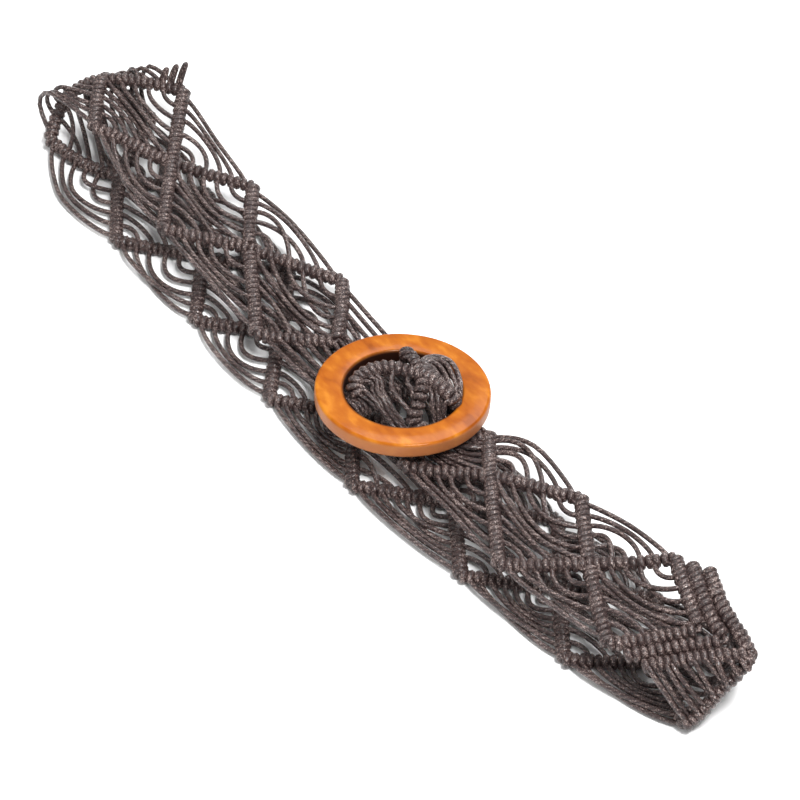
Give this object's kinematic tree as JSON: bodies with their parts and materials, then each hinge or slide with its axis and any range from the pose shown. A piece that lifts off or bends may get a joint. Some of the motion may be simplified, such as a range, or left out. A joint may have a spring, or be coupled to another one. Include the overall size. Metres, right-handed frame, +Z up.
{
  "type": "rope belt",
  "caption": "Knotted waxed-cord net belt with a wooden ring buckle, fastened and lying as a flattened closed loop.",
  "frame": {"origin": "centre of the lying loop's bounding box, on the surface that it rests on", "axes": "+X along the belt, from the fold near the fixed end to the fold near the chevron; +Y across the belt; +Z up"},
  "size_m": [0.407, 0.0756, 0.0307],
  "materials": {
    "waxed_cord": "waxed, slightly shiny, dark grey-brown",
    "polished_wood": "glossy amber varnish"
  },
  "bodies": {
    "root": {"upper_left_run": "waxed_cord", "left_fold": "waxed_cord", "lower_run": "waxed_cord", "right_fold": "waxed_cord", "upper_right_run": "waxed_cord", "threaded_end": "waxed_cord", "ring_buckle": "polished_wood", "bar_loops": "waxed_cord", "tip_knot": "waxed_cord"}
  },
  "joints": []
}
